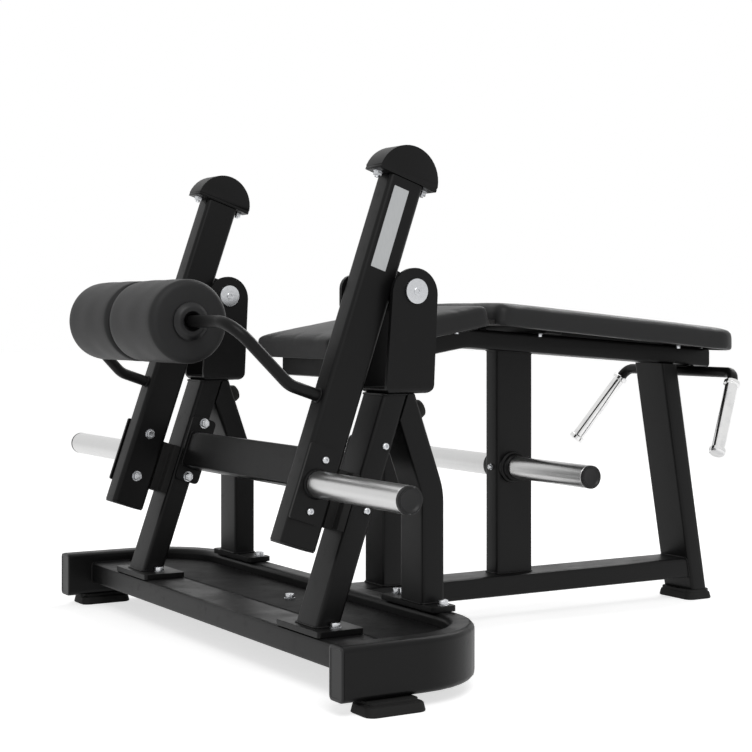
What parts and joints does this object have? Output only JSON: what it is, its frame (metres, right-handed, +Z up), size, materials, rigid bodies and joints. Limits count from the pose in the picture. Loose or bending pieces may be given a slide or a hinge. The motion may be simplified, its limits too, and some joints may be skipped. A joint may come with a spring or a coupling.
{
  "type": "lying hamstring machine",
  "caption": "Plate-loaded lying leg curl machine: bent padded bench, foam ankle rollers on swinging levers with weight horns and counterweights, U-shaped base.",
  "frame": {"origin": "on the floor under the middle of the machine's bounding box", "axes": "+X from the ankle rollers towards the head end of the bench, +Y across to the user's left side as they lie face down, +Z up"},
  "size_m": [1.569, 1.546, 1.0252],
  "materials": {
    "black_powder_coat": "satin",
    "bright_steel": "satin",
    "satin_chrome": "satin",
    "polished_chrome": "polished",
    "black_rubber": "matte",
    "black_plastic": "matte",
    "black_vinyl": "satin",
    "roller_foam": "matte",
    "pad_board": "matte"
  },
  "bodies": {
    "frame": {"base_hoop": "black_powder_coat", "front_beam": "black_powder_coat", "deck_plate": "black_powder_coat", "cross_tube": "black_powder_coat", "lower_beam": "black_powder_coat", "rear_post": "black_powder_coat", "mid_post": "black_powder_coat", "centre_post": "black_powder_coat", "bench_beam": "black_powder_coat", "handle_bar": "black_powder_coat", "hip_pad_packer": "black_powder_coat", "chest_pad_packer": "black_powder_coat", "front_leg_left": "black_powder_coat", "front_leg_right": "black_powder_coat", "front_flange_left": "black_powder_coat", "front_flange_right": "black_powder_coat", "rear_flange_left": "black_powder_coat", "rear_flange_right": "black_powder_coat", "rear_leg_left": "black_powder_coat", "rear_leg_right": "black_powder_coat", "pivot_bracket_left": "black_powder_coat", "pivot_bracket_right": "black_powder_coat", "cross_plate_left": "black_powder_coat", "cross_plate_right": "black_powder_coat", "pivot_shaft_left": "bright_steel", "pivot_shaft_right": "bright_steel", "storage_horn_left": "satin_chrome", "storage_horn_right": "satin_chrome", "handle_grip_left": "polished_chrome", "handle_grip_right": "polished_chrome", "front_foot_left": "black_rubber", "front_foot_right": "black_rubber", "leg_bumper_left": "black_rubber", "leg_bumper_right": "black_rubber", "stop_pad_left": "black_rubber", "stop_pad_right": "black_rubber", "rear_foot": "black_rubber", "storage_cap_left": "black_plastic", "storage_cap_right": "black_plastic", "hip_pad": "black_vinyl", "chest_pad": "black_vinyl", "hip_pad_board": "pad_board", "chest_pad_board": "pad_board"},
    "swing": {"roller_bar": "black_powder_coat", "lever_arm_left": "black_powder_coat", "lever_arm_right": "black_powder_coat", "counterweight_left": "black_powder_coat", "counterweight_right": "black_powder_coat", "pivot_hub_left": "black_powder_coat", "pivot_hub_right": "black_powder_coat", "horn_plate_left": "black_powder_coat", "horn_plate_right": "black_powder_coat", "weight_horn_left": "satin_chrome", "weight_horn_right": "satin_chrome", "horn_cap_left": "black_plastic", "horn_cap_right": "black_plastic"},
    "roller_left": {"roller_core_left": "black_plastic", "roller_pad_left": "roller_foam"},
    "roller_right": {"roller_core_right": "black_plastic", "roller_pad_right": "roller_foam"}
  },
  "joints": [
    {"name": "lever_pivot", "type": "hinge", "parent": "frame", "child": "swing", "pos_m": [-0.3365, 0, 0.742], "axis": [0, 1, 0], "range_deg": [0, 150]},
    {"name": "roller_left_spin", "type": "hinge", "parent": "swing", "child": "roller_left", "pos_m": [-0.7015, 0.1145, 0.684], "axis": [0, 1, 0], "continuous": true},
    {"name": "roller_right_spin", "type": "hinge", "parent": "swing", "child": "roller_right", "pos_m": [-0.7015, -0.1145, 0.684], "axis": [0, 1, 0], "continuous": true}
  ]
}
